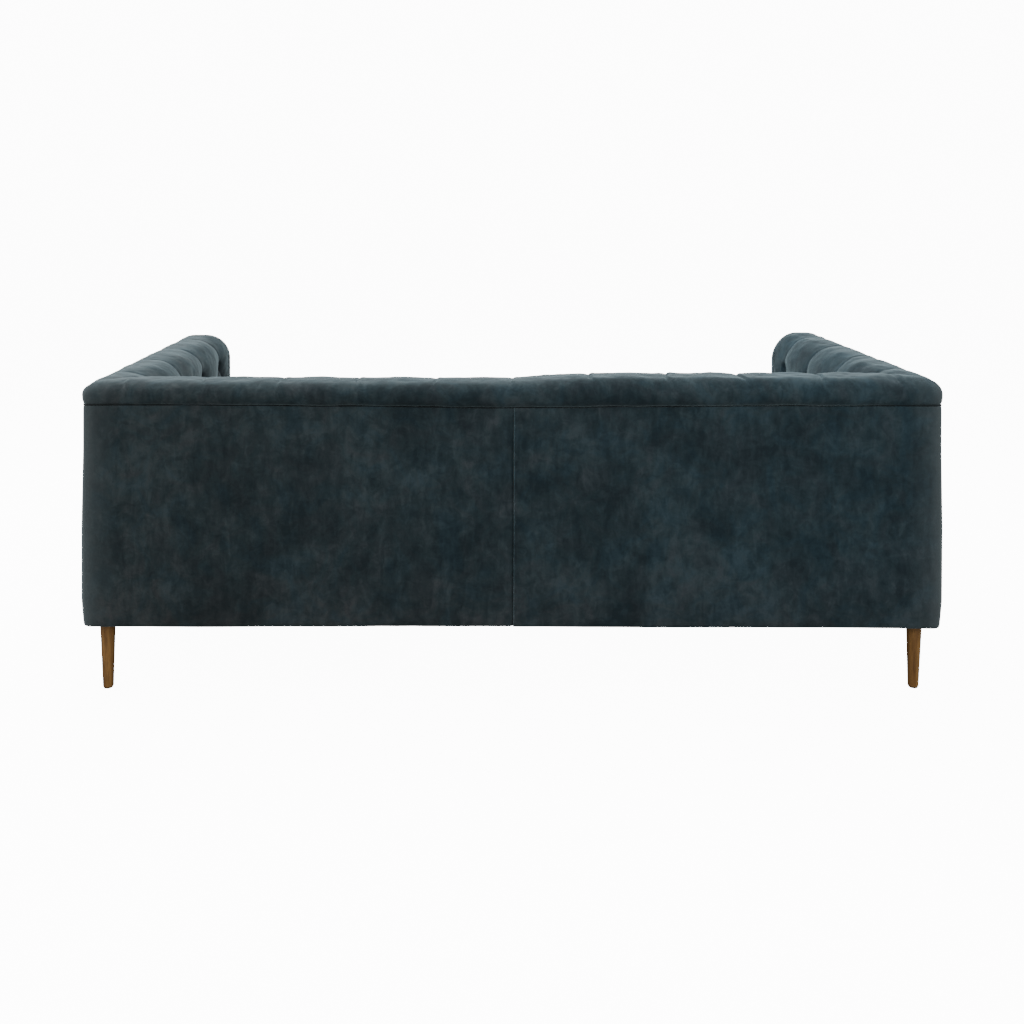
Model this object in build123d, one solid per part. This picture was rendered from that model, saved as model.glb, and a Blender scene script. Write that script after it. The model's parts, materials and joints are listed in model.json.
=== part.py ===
from build123d import *
import os

# Three-seat sofa, tufted on the inside and plain on the outside, on four tapered wooden legs.
# Millimetres. X is the width, with the left arm at +X. Y is the depth: the seat's front is at -Y
# and the back is at +Y. +Z is up, and the origin is on the floor under the middle of the sofa.

# Overall size
WIDTH = 2100.0
DEPTH = 880.0
HEIGHT = 770.0
LEG_HEIGHT = 175.0
HALF_WIDTH = WIDTH / 2
REAR_Y = DEPTH / 2
FRONT_Y = -DEPTH / 2

# Walls: the back and the arms share one section, measured inwards from the outer face
WALL = 160.0
SEAM_Z = 720.0
ROLL_OUTER_WIDTH = 52.0
ROLL_OUTER_RISE = HEIGHT - SEAM_Z
ROLL_INNER_WIDTH = 80.0
ROLL_INNER_RISE = 75.0
COVER = 6.0
COVER_START = 40.0
PANEL = 4.0
PANEL_SETBACK = 2.0
BOARD = 3.0
BOARD_SETBACK = 16.0
TIMBER = 30.0
WEBBING = 1.5
WEBBING_GAP = 0.5
WELT = 4.0
FRONT_PAD = 6.0
CUT_MARGIN = 5.0

PANEL_IN = PANEL_SETBACK + PANEL
TIMBER_OUT = PANEL_IN + BOARD
TIMBER_IN = TIMBER_OUT + TIMBER
FOAM_OUT = TIMBER_IN + WEBBING + WEBBING_GAP
TIMBER_X = HALF_WIDTH - TIMBER_OUT
TIMBER_INNER_X = HALF_WIDTH - TIMBER_IN
TIMBER_Y = REAR_Y - TIMBER_OUT
TIMBER_INNER_Y = REAR_Y - TIMBER_IN
INNER_X = HALF_WIDTH - WALL
INNER_Y = REAR_Y - WALL
FRONT_TIMBER_Y = FRONT_Y + FRONT_PAD
FRONT_TIMBER_INNER_Y = FRONT_TIMBER_Y + TIMBER

# Base frame
DUST_COVER = 1.0
RAIL_Z = LEG_HEIGHT + DUST_COVER
RAIL_HEIGHT = 100.0
RAIL_TOP = RAIL_Z + RAIL_HEIGHT
CROSS_RAIL_X = 300.0
CROSS_RAIL_DROP = 25.0
BLOCK = 72.0
BLOCK_HEIGHT = 80.0

# Back and arm frame
FRAME_TOP = SEAM_Z - WELT
TOP_RAIL_HEIGHT = 40.0
TOP_RAIL_Z = FRAME_TOP - TOP_RAIL_HEIGHT
LOWER_RAIL_Z = 300.0
LOWER_RAIL_HEIGHT = 40.0
BACK_POST_X = 381.4
ARM_POST_Y = -15.0

# Seat deck
SEAT_STRAP = 2.0
SEAT_STRAP_WIDTH = 70.0
SEAT_STRAP_COUNT = 14
STRAP_END = 6.0
DECK_TOP = 290.0
DECK_COVER = 3.0
WALL_PAD_Z = 288.0

# Tufting
BUTTON_PITCH = 190.0
BUTTON_ROWS = (680.0, 575.0, 470.0)
BACK_BUTTONS = 9
ARM_BUTTONS = 3
ARM_BUTTON_FRONT = 100.0
ARM_BUTTON_PITCH = 205.0
BUTTON_RADIUS = 12.0
BUTTON_THICKNESS = 8.0
BUTTON_DOME = 3.0
POCKET_RADIUS = 16.0
POCKET_DEPTH = 30.0

# Straps behind the padding
STRAP_WIDTH = 50.0
BACK_STRAP_COUNT = 10
ARM_STRAP_COUNT = 4

# Legs
LEG_INSET_X = 44.0
LEG_INSET_Y = 57.0
LEG_TOP_RADIUS = 19.0
LEG_FOOT_RADIUS = 13.0
GLIDE_HEIGHT = 4.0
GLIDE_RADIUS = 11.0
PLATE = 64.0
PLATE_THICKNESS = 3.0
PLATE_CORNER = 6.0
PLATE_GAP = 1.0
PLATE_SCREW_OFFSET = 24.0
PLATE_SCREW_RADIUS = 2.0
PLATE_SCREW_LENGTH = 18.0
PLATE_SCREW_HEAD = 3.6
PLATE_SCREW_HEAD_HEIGHT = 1.6
BOLT_RADIUS = 4.0
BOLT_DEPTH = 40.0
BOLT_RISE = 45.0

# Seat cushions
CUSHION_TOP = 440.0
CUSHION_LIFT_GAP = 0.5
CUSHION_SIDE_GAP = 4.0
CUSHION_MIDDLE_GAP = 3.0
CUSHION_FRONT_SETBACK = 3.0
CUSHION_FABRIC = 3.0
CUSHION_CORNER = 30.0
ZIP_LENGTH = 520.0
ZIP_HEIGHT = 22.0
ZIP_THICKNESS = 1.2

PARTS = {}


def keep(name, *shapes):
    """File one sub-part, as one solid or as a group of separate solids."""
    PARTS[name] = shapes[0] if len(shapes) == 1 else Compound(children=list(shapes))


def keep_pair(name, shape):
    """File a left sub-part and its mirror image on the right."""
    keep(name + "_left", shape)
    keep(name + "_right", mirror(shape, about=Plane.YZ))


def block(x0, x1, y0, y1, z0, z1):
    """A box between two corners."""
    return Pos(x0, y0, z0) * Box(x1 - x0, y1 - y0, z1 - z0, align=(Align.MIN, Align.MIN, Align.MIN))


def round_bar(start, direction, radius, length):
    """A cylinder from a start point along a direction."""
    return Plane(origin=start, z_dir=direction) * Cylinder(
        radius, length, align=(Align.CENTER, Align.CENTER, Align.MIN)
    )


# ---------------------------------------------------------------- wall section and padding


def wall_section(inset):
    """The wall's outline in distance from the outer face and height, shrunk by an inset."""
    top = HEIGHT - inset
    outer = inset
    inner = WALL - inset
    inner_flat = WALL - ROLL_INNER_WIDTH
    inner_z = HEIGHT - ROLL_INNER_RISE
    edges = [
        Line((outer, WALL_PAD_Z), (outer, SEAM_Z)),
        EllipticalCenterArc(
            (ROLL_OUTER_WIDTH, SEAM_Z), ROLL_OUTER_WIDTH - inset, ROLL_OUTER_RISE - inset, 90, arc_size=90
        ),
        Line((ROLL_OUTER_WIDTH, top), (inner_flat, top)),
        EllipticalCenterArc(
            (inner_flat, inner_z), ROLL_INNER_WIDTH - inset, ROLL_INNER_RISE - inset, 0, arc_size=90
        ),
        Line((inner, inner_z), (inner, WALL_PAD_Z)),
        Line((inner, WALL_PAD_Z), (outer, WALL_PAD_Z)),
    ]
    return make_face(edges)


def outer_cut(width, top):
    """The part of the section below a height that lies within a width of the outer face."""
    return Pos(-CUT_MARGIN, 0) * Rectangle(width + CUT_MARGIN, top, align=(Align.MIN, Align.MIN))


def cover_section():
    """The inner fabric with its quilted backing, from the deck over the roll to the outer seam."""
    return wall_section(0) - wall_section(COVER) - outer_cut(COVER_START, SEAM_Z)


def foam_section():
    """The padding between the frame and the inner fabric."""
    return wall_section(COVER) - outer_cut(FOAM_OUT, FRAME_TOP)


def back_wall(section):
    """A section run along the back and mitred into both arms."""
    plane = Plane(origin=(HALF_WIDTH, REAR_Y, 0), x_dir=(0, -1, 0), z_dir=(-1, 0, 0))
    mitre = Polyline(
        (-HALF_WIDTH, REAR_Y),
        (HALF_WIDTH, REAR_Y),
        (INNER_X - CUT_MARGIN, INNER_Y - CUT_MARGIN),
        (CUT_MARGIN - INNER_X, INNER_Y - CUT_MARGIN),
        close=True,
    )
    return extrude(plane * section, WIDTH) & extrude(make_face(mitre), HEIGHT)


def arm_wall(section):
    """A section run along the left arm, from the front panel to the mitre at the back."""
    plane = Plane(origin=(HALF_WIDTH, FRONT_TIMBER_Y, 0), x_dir=(-1, 0, 0), z_dir=(0, 1, 0))
    mitre = Polyline(
        (HALF_WIDTH, REAR_Y),
        (HALF_WIDTH, FRONT_Y),
        (INNER_X - CUT_MARGIN, FRONT_Y),
        (INNER_X - CUT_MARGIN, INNER_Y - CUT_MARGIN),
        close=True,
    )
    return extrude(plane * section, REAR_Y - FRONT_TIMBER_Y) & extrude(make_face(mitre), HEIGHT)


def back_button_places():
    """Button centres on the inner back: a diamond pattern of three rows."""
    places = []
    for row, z in enumerate(BUTTON_ROWS):
        count = BACK_BUTTONS - row % 2
        first = -(count - 1) / 2 * BUTTON_PITCH
        places += [(first + i * BUTTON_PITCH, z) for i in range(count)]
    return places


def arm_button_places():
    """Button centres on an arm's inner face, as depth and height."""
    places = []
    for row, z in enumerate(BUTTON_ROWS):
        first = FRONT_Y + ARM_BUTTON_FRONT + (row % 2) * ARM_BUTTON_PITCH / 2
        places += [(first + i * ARM_BUTTON_PITCH, z) for i in range(ARM_BUTTONS)]
    return places


def button(location):
    """One covered button at the bottom of its pocket, domed towards the room."""
    disc = Cylinder(BUTTON_RADIUS, BUTTON_THICKNESS, align=(Align.CENTER, Align.CENTER, Align.MIN))
    rim = disc.edges().filter_by(GeomType.CIRCLE).sort_by(Axis.Z)[-1:]
    return location * Pos(0, 0, -POCKET_DEPTH) * fillet(rim, BUTTON_DOME)


def pocket(location):
    """The hole that a button is pulled down into."""
    tool = Cylinder(POCKET_RADIUS, POCKET_DEPTH + CUT_MARGIN, align=(Align.CENTER, Align.CENTER, Align.MIN))
    return location * Pos(0, 0, -POCKET_DEPTH) * tool


def build_padding():
    """Foam, inner covers and buttons of the back and the arms."""
    back_spots = [Plane(origin=(x, INNER_Y, z), z_dir=(0, -1, 0)).location for x, z in back_button_places()]
    arm_spots = [Plane(origin=(INNER_X, y, z), z_dir=(-1, 0, 0)).location for y, z in arm_button_places()]
    back_pockets = [pocket(spot) for spot in back_spots]
    arm_pockets = [pocket(spot) for spot in arm_spots]
    keep("inside_back_foam", back_wall(foam_section()) - back_pockets)
    keep("inside_back_cover", back_wall(cover_section()) - back_pockets)
    keep("back_buttons", *[button(spot) for spot in back_spots])
    keep_pair("inside_arm_foam", arm_wall(foam_section()) - arm_pockets)
    keep_pair("inside_arm_cover", arm_wall(cover_section()) - arm_pockets)
    keep_pair("arm_buttons", Compound(children=[button(spot) for spot in arm_spots]))


# ---------------------------------------------------------------- timber frame


def leg_places():
    """The four leg centres, as (name, x, y)."""
    x = HALF_WIDTH - LEG_INSET_X
    y = REAR_Y - LEG_INSET_Y
    return [
        ("leg_front_left", x, -y),
        ("leg_front_right", -x, -y),
        ("leg_rear_left", x, y),
        ("leg_rear_right", -x, y),
    ]


def leg_bolts():
    """Hanger bolts that join each leg to its corner block."""
    length = BOLT_DEPTH + PLATE_THICKNESS + BOLT_RISE
    foot = RAIL_Z - PLATE_THICKNESS - BOLT_DEPTH
    return [round_bar((x, y, foot), (0, 0, 1), BOLT_RADIUS, length) for _, x, y in leg_places()]


def plate_screws():
    """Wood screws up through each corner of the leg plates."""
    screws = []
    for _, x, y in leg_places():
        for dx in (-PLATE_SCREW_OFFSET, PLATE_SCREW_OFFSET):
            for dy in (-PLATE_SCREW_OFFSET, PLATE_SCREW_OFFSET):
                head_z = RAIL_Z - PLATE_THICKNESS - PLATE_SCREW_HEAD_HEIGHT
                foot = (x + dx, y + dy, head_z)
                head = round_bar(foot, (0, 0, 1), PLATE_SCREW_HEAD, PLATE_SCREW_HEAD_HEIGHT)
                shank_length = PLATE_SCREW_HEAD_HEIGHT + PLATE_SCREW_LENGTH
                screws.append(head + round_bar(foot, (0, 0, 1), PLATE_SCREW_RADIUS, shank_length))
    return screws


def build_base():
    """Base rails, cross rails and corner blocks, drilled for their fixings."""
    bolts = leg_bolts()
    holes = bolts + plate_screws()
    front = block(-TIMBER_X, TIMBER_X, FRONT_TIMBER_Y, FRONT_TIMBER_INNER_Y, RAIL_Z, RAIL_TOP)
    keep("base_front_rail", front - holes)
    rear = block(-TIMBER_X, TIMBER_X, TIMBER_INNER_Y, TIMBER_Y, RAIL_Z, RAIL_TOP)
    keep("base_rear_rail", rear - holes)
    side = block(TIMBER_INNER_X, TIMBER_X, FRONT_TIMBER_INNER_Y, TIMBER_INNER_Y, RAIL_Z, RAIL_TOP)
    keep_pair("base_side_rail", side - holes)
    cross = [
        block(x - TIMBER / 2, x + TIMBER / 2, FRONT_TIMBER_INNER_Y, TIMBER_INNER_Y,
              RAIL_Z, RAIL_TOP - CROSS_RAIL_DROP)
        for x in (-CROSS_RAIL_X, CROSS_RAIL_X)
    ]
    keep("base_cross_rails", *cross)
    blocks = []
    for y0, y1 in (
        (FRONT_TIMBER_INNER_Y, FRONT_TIMBER_INNER_Y + BLOCK),
        (TIMBER_INNER_Y - BLOCK, TIMBER_INNER_Y),
    ):
        left = block(TIMBER_INNER_X - BLOCK, TIMBER_INNER_X, y0, y1, RAIL_Z, RAIL_Z + BLOCK_HEIGHT)
        blocks += [left - holes, mirror(left, about=Plane.YZ) - holes]
    keep("corner_blocks", *blocks)


def build_upper_frame():
    """Posts and rails inside the back and the arms."""
    keep("back_top_rail", block(-TIMBER_X, TIMBER_X, TIMBER_INNER_Y, TIMBER_Y, TOP_RAIL_Z, FRAME_TOP))
    end_x = TIMBER_X - TIMBER / 2
    post_places = (-end_x, -BACK_POST_X, BACK_POST_X, end_x)
    posts = [
        block(x - TIMBER / 2, x + TIMBER / 2, TIMBER_INNER_Y, TIMBER_Y, RAIL_TOP, TOP_RAIL_Z)
        for x in post_places
    ]
    keep("back_posts", *posts)
    lower = [
        block(x0 + TIMBER / 2, x1 - TIMBER / 2, TIMBER_INNER_Y, TIMBER_Y,
              LOWER_RAIL_Z, LOWER_RAIL_Z + LOWER_RAIL_HEIGHT)
        for x0, x1 in zip(post_places, post_places[1:])
    ]
    keep("back_lower_rails", *lower)
    rail = block(TIMBER_INNER_X, TIMBER_X, FRONT_TIMBER_Y, TIMBER_INNER_Y, TOP_RAIL_Z, FRAME_TOP)
    keep_pair("arm_top_rail", rail)
    arm_posts = [
        block(TIMBER_INNER_X, TIMBER_X, y - TIMBER / 2, y + TIMBER / 2, RAIL_TOP, TOP_RAIL_Z)
        for y in (FRONT_TIMBER_Y + TIMBER / 2, ARM_POST_Y)
    ]
    keep_pair("arm_posts", Compound(children=arm_posts))


def build_straps():
    """Elastic straps on the room side of the frame, behind the foam."""
    pitch = 2 * TIMBER_INNER_X / BACK_STRAP_COUNT
    back = [
        block(x - STRAP_WIDTH / 2, x + STRAP_WIDTH / 2, TIMBER_INNER_Y - WEBBING, TIMBER_INNER_Y,
              LOWER_RAIL_Z, FRAME_TOP)
        for x in [(i - (BACK_STRAP_COUNT - 1) / 2) * pitch for i in range(BACK_STRAP_COUNT)]
    ]
    keep("back_webbing", *back)
    arm_pitch = (TIMBER_INNER_Y - FRONT_TIMBER_INNER_Y) / ARM_STRAP_COUNT
    arm = [
        block(TIMBER_INNER_X - WEBBING, TIMBER_INNER_X, y - STRAP_WIDTH / 2, y + STRAP_WIDTH / 2,
              RAIL_TOP, FRAME_TOP)
        for y in [FRONT_TIMBER_INNER_Y + (i + 0.5) * arm_pitch for i in range(ARM_STRAP_COUNT)]
    ]
    keep_pair("arm_webbing", Compound(children=arm))


# ---------------------------------------------------------------- seat deck


def build_deck():
    """Elastic straps over the rails, and the flat deck that the cushions rest on."""
    pitch = 2 * INNER_X / SEAT_STRAP_COUNT
    straps = [
        block(x - SEAT_STRAP_WIDTH / 2, x + SEAT_STRAP_WIDTH / 2,
              FRONT_TIMBER_Y + STRAP_END, TIMBER_Y - STRAP_END, RAIL_TOP, RAIL_TOP + SEAT_STRAP)
        for x in [(i - (SEAT_STRAP_COUNT - 1) / 2) * pitch for i in range(SEAT_STRAP_COUNT)]
    ]
    keep("seat_webbing", *straps)
    cover_z = DECK_TOP - DECK_COVER
    pad_z = RAIL_TOP + SEAT_STRAP
    keep("deck_pad", block(-INNER_X, INNER_X, FRONT_TIMBER_Y, INNER_Y, pad_z, cover_z))
    keep("deck_cover", block(-INNER_X, INNER_X, FRONT_Y, INNER_Y, cover_z, DECK_TOP))
    border_in = FRONT_Y + PANEL
    keep("front_border_cover", block(-INNER_X, INNER_X, FRONT_Y, border_in, LEG_HEIGHT, cover_z))
    keep("front_border_pad", block(-INNER_X, INNER_X, border_in, FRONT_TIMBER_Y, RAIL_Z, cover_z))


# ---------------------------------------------------------------- outside


def arm_front_outline():
    """The arm's end as seen from the front: straight sides under the roll."""
    low = Pos(PANEL_SETBACK, LEG_HEIGHT) * Rectangle(
        WALL - PANEL_SETBACK, SEAM_Z - LEG_HEIGHT, align=(Align.MIN, Align.MIN)
    )
    return wall_section(0) - outer_cut(PANEL_SETBACK, SEAM_Z) + low


def build_outside():
    """Boards, outside panels, the seam's welt, the arm fronts and the dust cover."""
    panel_y = REAR_Y - PANEL_SETBACK
    panel_x = HALF_WIDTH - PANEL_SETBACK
    board_x = HALF_WIDTH - PANEL_IN
    board_y = REAR_Y - PANEL_IN
    board_end_x = TIMBER_X - BOARD_SETBACK
    board_end_y = TIMBER_Y - BOARD_SETBACK
    keep("back_board", block(-board_end_x, board_end_x, TIMBER_Y, board_y, RAIL_Z, FRAME_TOP))
    keep_pair("arm_board", block(TIMBER_X, board_x, FRONT_TIMBER_Y, board_end_y, RAIL_Z, FRAME_TOP))
    keep_pair("outside_back_panel", block(0, board_x, board_y, panel_y, LEG_HEIGHT, FRAME_TOP))
    keep_pair("outside_arm_panel", block(board_x, panel_x, FRONT_TIMBER_Y, panel_y, LEG_HEIGHT, FRAME_TOP))
    inner_x = HALF_WIDTH - COVER
    inner_y = REAR_Y - COVER
    outer = block(-panel_x, panel_x, FRONT_TIMBER_Y, panel_y, FRAME_TOP, SEAM_Z)
    keep("top_welt", outer - block(-inner_x, inner_x, FRONT_Y, inner_y, 0, HEIGHT))
    plane = Plane(origin=(HALF_WIDTH, FRONT_Y, 0), x_dir=(-1, 0, 0), z_dir=(0, 1, 0))
    keep_pair("arm_front_facing", extrude(plane * arm_front_outline(), FRONT_PAD))
    reach = PLATE / 2 + PLATE_GAP
    gaps = [
        block(x - reach, x + reach, y - reach, y + reach, 0, HEIGHT) for _, x, y in leg_places()
    ]
    sheet = block(-TIMBER_X, TIMBER_X, FRONT_TIMBER_Y, TIMBER_Y, LEG_HEIGHT, RAIL_Z)
    keep("dust_cover", sheet - gaps)


# ---------------------------------------------------------------- legs


def build_legs():
    """Tapered round legs with a glide, a steel plate, screws and a hanger bolt each."""
    bolts = leg_bolts()
    screws = plate_screws()
    plate_z = RAIL_Z - PLATE_THICKNESS
    plates = []
    glides = []
    for name, x, y in leg_places():
        cone = Pos(x, y, GLIDE_HEIGHT) * Cone(
            LEG_FOOT_RADIUS, LEG_TOP_RADIUS, plate_z - GLIDE_HEIGHT,
            align=(Align.CENTER, Align.CENTER, Align.MIN),
        )
        keep(name, cone - bolts)
        plate = extrude(RectangleRounded(PLATE, PLATE, PLATE_CORNER), PLATE_THICKNESS)
        plates.append(Pos(x, y, plate_z) * plate - bolts - screws)
        glides.append(round_bar((x, y, 0), (0, 0, 1), GLIDE_RADIUS, GLIDE_HEIGHT))
    keep("leg_plates", *plates)
    keep("leg_bolts", *bolts)
    keep("plate_screws", *screws)
    keep("leg_glides", *glides)


# ---------------------------------------------------------------- cushions


def cushion_slab(inset, z0, z1):
    """A slab in the left cushion's plan outline."""
    x0 = CUSHION_MIDDLE_GAP + inset
    x1 = INNER_X - CUSHION_SIDE_GAP - inset
    y0 = FRONT_Y + CUSHION_FRONT_SETBACK + inset
    y1 = INNER_Y - CUSHION_SIDE_GAP - inset
    outline = RectangleRounded(x1 - x0, y1 - y0, CUSHION_CORNER - inset)
    return Pos((x0 + x1) / 2, (y0 + y1) / 2, z0) * extrude(outline, z1 - z0)


def build_cushions():
    """Two loose seat cushions: foam core, top and bottom panels, boxing and zip."""
    low = DECK_TOP + CUSHION_LIFT_GAP
    panel_low = low + CUSHION_FABRIC
    panel_high = CUSHION_TOP - CUSHION_FABRIC
    ring = cushion_slab(0, panel_low, panel_high) - cushion_slab(CUSHION_FABRIC, panel_low, panel_high)
    keep_pair("cushion_foam", cushion_slab(CUSHION_FABRIC, panel_low, panel_high))
    keep_pair("cushion_boxing", ring)
    keep_pair("cushion_top_panel", cushion_slab(0, panel_high, CUSHION_TOP))
    keep_pair("cushion_bottom_panel", cushion_slab(0, low, panel_low))
    zip_x = (CUSHION_MIDDLE_GAP + INNER_X - CUSHION_SIDE_GAP - ZIP_LENGTH) / 2
    zip_y = INNER_Y - CUSHION_SIDE_GAP
    zip_z = (low + CUSHION_TOP - ZIP_HEIGHT) / 2
    closure = block(zip_x, zip_x + ZIP_LENGTH, zip_y, zip_y + ZIP_THICKNESS, zip_z, zip_z + ZIP_HEIGHT)
    keep_pair("cushion_zip", closure)


def main():
    build_base()
    build_upper_frame()
    build_straps()
    build_deck()
    build_padding()
    build_outside()
    build_legs()
    build_cushions()
    os.makedirs("parts", exist_ok=True)
    for name, shape in PARTS.items():
        export_step(shape, "parts/" + name + ".step")
    print(len(PARTS), "nodes")


main()
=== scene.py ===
import bpy
import json
import math
import numpy as np
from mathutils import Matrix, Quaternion, Vector


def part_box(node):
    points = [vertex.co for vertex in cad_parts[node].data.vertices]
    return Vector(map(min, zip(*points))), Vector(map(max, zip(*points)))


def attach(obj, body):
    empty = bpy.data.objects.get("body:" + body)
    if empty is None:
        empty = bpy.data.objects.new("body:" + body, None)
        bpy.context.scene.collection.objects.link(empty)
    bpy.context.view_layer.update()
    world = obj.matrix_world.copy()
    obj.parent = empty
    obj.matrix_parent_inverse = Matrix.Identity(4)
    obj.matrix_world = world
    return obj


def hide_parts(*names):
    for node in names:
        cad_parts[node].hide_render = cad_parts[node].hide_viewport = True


# Looks of a three-seat sofa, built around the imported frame. Metres, with the back at +Y.

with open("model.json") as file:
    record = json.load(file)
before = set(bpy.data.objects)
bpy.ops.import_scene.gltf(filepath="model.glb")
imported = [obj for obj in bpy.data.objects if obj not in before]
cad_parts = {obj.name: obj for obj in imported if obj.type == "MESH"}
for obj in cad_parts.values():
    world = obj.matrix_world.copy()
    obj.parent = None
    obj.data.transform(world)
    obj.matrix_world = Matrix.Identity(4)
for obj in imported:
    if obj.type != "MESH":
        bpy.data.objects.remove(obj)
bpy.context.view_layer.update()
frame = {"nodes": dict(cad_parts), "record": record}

BODY = "sofa_frame"
SIDES = {"left": 1, "right": -1}

# Places read from the frame
back_low, back_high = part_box("inside_back_cover")
facing_low, facing_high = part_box("arm_front_facing_left")
border_low, border_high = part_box("front_border_cover")
deck_low, deck_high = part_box("deck_cover")
HALF_WIDTH = back_high.x
REAR = back_high.y
WALL = back_high.y - back_low.y
TOP = back_high.z
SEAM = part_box("top_welt")[1].z
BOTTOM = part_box("outside_back_panel_left")[0].z
FRONT = facing_low.y
ARM_FRONT = facing_high.y
DECK = deck_high.z

# Mesh spacing on the tufted walls and on the plain outside panels
GRID = 0.0038
PANEL_GRID = 0.009

# Section of the walls: a tucked lip at the long seam, the outer and inner curves of the roll
SEAM_TUCK = 0.0055
ROLL_BULGE = 0.0015
ROLL_LIP = 0.022
ROLL_LIP_RISE = 0.002
ROLL_OUTER = 0.052
ROLL_INNER = 0.080
ROLL_INNER_RISE = 0.075
OUTER_SQUARENESS = 2.2
INNER_SQUARENESS = 2.2
FOOT_GAP = 0.001

# The back's roll bulges over the seam, less towards the corners and more on its fuller side
BACK_BULGE = 0.0095
BULGE_FADE = 0.30
BULGE_LENGTH = 0.085
BULGE_SKEW = 0.6
BULGE_MARGIN = 0.03
FULLER_BULGE = 0.45
FULLER_START = 0.06
FULLER_RUN = 0.30
ROLL_LIFT = 0.0030
FULLER_LIFT = 0.0125

# Plan of the corners
CORNER = 0.022
CORNER_MIN = 0.004
CORNER_SHARE = 0.985
CORNER_COLUMNS = 9
CORNER_BLEND = 0.955

# Tufting: button rows by height, and pitches along the back and the arms
ROW_TOP = 0.680
ROW_STEP = 0.105
BACK_PITCH = 0.190
ARM_PITCH = 0.205
ARM_FIRST = FRONT + 0.100
BUTTON_ROWS = 3
BACK_BUTTONS = 9
ARM_BUTTONS = 3
TUFT_DEPTH = 0.021
PIT_DEPTH = 0.0275
PIT_RADIUS = 0.0175
PIT_POWER = 4
CREASE_SOFTNESS = 0.05
PILLOW_POWER = 0.40
GATHER_DEPTH = 0.0012
GATHER_FOLDS = 11
GATHER_REACH = 0.03
MITRE_REACH = 0.040
MITRE_DEPTH = 0.016
MITRE_MIN = 0.0008

# Pleats over the roll: where their depth changes, how they wander, and the fold along each
SHALLOW_END = 0.02
CREST_RUN = 0.045
FACE_RUN = 0.06
PLEAT_SHARES = (0.03, 0.04, 0.05)
PAST_CREST_BACK = 0.10
PAST_CREST_ARM = 0.30
INNER_EDGE_SHARE = 0.62
WANDER = 0.006
WANDER_LENGTH = 0.10
WANDER_RUN = 0.10
FOLD_DEPTH = 0.0026
FOLD_REACH = (0.0020, 0.006)
FOLD_LIP = 0.0010
FOLD_LIP_PLACE = 0.007
FOLD_LIP_WIDTH = 0.005
ARM_FOLD = 0.35
PROUD_LIMIT = 0.0030

# Unevenness of a hand-stuffed cover
UNEVEN = 0.0006
UNEVEN_SHARE = 0.0010
UNEVEN_LENGTH = 0.095
UNEVEN_FINE = 0.00025
UNEVEN_FINE_LENGTH = 0.034

# Outside panels: distance in from the outer face by height, tucks, puckers and slack
PANEL_HEIGHTS = (0, 0.12, 0.45, 0.8, 1)
PANEL_INSETS = (-0.0015, -0.0060, -0.0045, 0.0008, 0.0018)
PANEL_SEAM_TUCK = 0.0034
PANEL_FOOT_TUCK = 0.0012
PANEL_LIMIT = 0.0052
PANEL_TOP_ROWS = (0.0008, 0.0020, 0.0035, 0.0055, 0.0085)
PANEL_ROWS_START = 0.014
PANEL_ROWS_END = 0.004
PANEL_TURN_RISE = (0.0015, 0.0003, 0.0, 0.0)
PANEL_TURN_INSET = (0.0015, 0.004, 0.008, 0.022)
PUCKER = 0.0005
PUCKER_LENGTH = 0.023
PUCKER_REACH = 0.014
LAPPED_REACH = 0.0040
DROOP = 0.0055
DROOP_START = 0.1
DROOP_RUN = 0.95
SLACK = 0.0008

# The vertical seam between the two back panels, and a thin pale cord along the edge of its lap, a
# painted highlight
LEFT_LAP = 0.0055
RIGHT_LAP = 0.0012
LAP_COLUMNS = (0.0012, 0.0028, 0.0050)
PAINTED_HIGHLIGHT_EDGE = 0.0010
PAINTED_HIGHLIGHT_EDGE_PLACE = -0.0020

# Flat welt in the long seam, which hangs a little in the middle of the back
SEAM_WELT = 0.0025
SEAM_WELT_INSET = 0.0042
SEAM_WELT_DROP = 0.0020
SEAM_SAG = 0.0055
SEAM_SAG_REACH = 0.30

# Arm fronts
FRONT_RETURN = 0.014
FRONT_PUFF = 0.0062
FRONT_PUFF_REACH = 0.018
FRONT_FLARE_REACH = 0.05
FRONT_GAP = 0.001
FRONT_WELT = 0.0036
FRONT_WELT_SUNK = 0.0025

# Front border and deck
BORDER_TUCK = 0.004
BORDER_PUFF = 0.0045
DECK_START = 0.022
DECK_TUCK = 0.035

# Painted sheen: velvet within this reach of the vertical edges is painted paler, standing in for
# the sheen that grazing light gives there
PAINTED_SHEEN_REACH = 0.09


# ---------------------------------------------------------------- mesh helpers


def new_piece(name, vertices, faces, material, body=BODY):
    """A smooth mesh object that rides on a body."""
    mesh = bpy.data.meshes.new(name)
    mesh.from_pydata([tuple(v) for v in vertices], [], faces)
    mesh.materials.append(material)
    mesh.polygons.foreach_set("use_smooth", [True] * len(mesh.polygons))
    mesh.update()
    piece = bpy.data.objects.new(name, mesh)
    bpy.context.scene.collection.objects.link(piece)
    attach(piece, body)
    return piece


def grid_piece(name, points, material, body=BODY, flip=False):
    """A mesh over a rows x columns x 3 array of points."""
    rows, columns = points.shape[:2]
    index = np.arange(rows * columns).reshape(rows, columns)
    corners = [index[:-1, :-1], index[:-1, 1:], index[1:, 1:], index[1:, :-1]]
    quads = np.stack(corners, axis=-1).reshape(-1, 4)
    if flip:
        quads = quads[:, ::-1]
    return new_piece(name, points.reshape(-1, 3), quads.tolist(), material, body)


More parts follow.
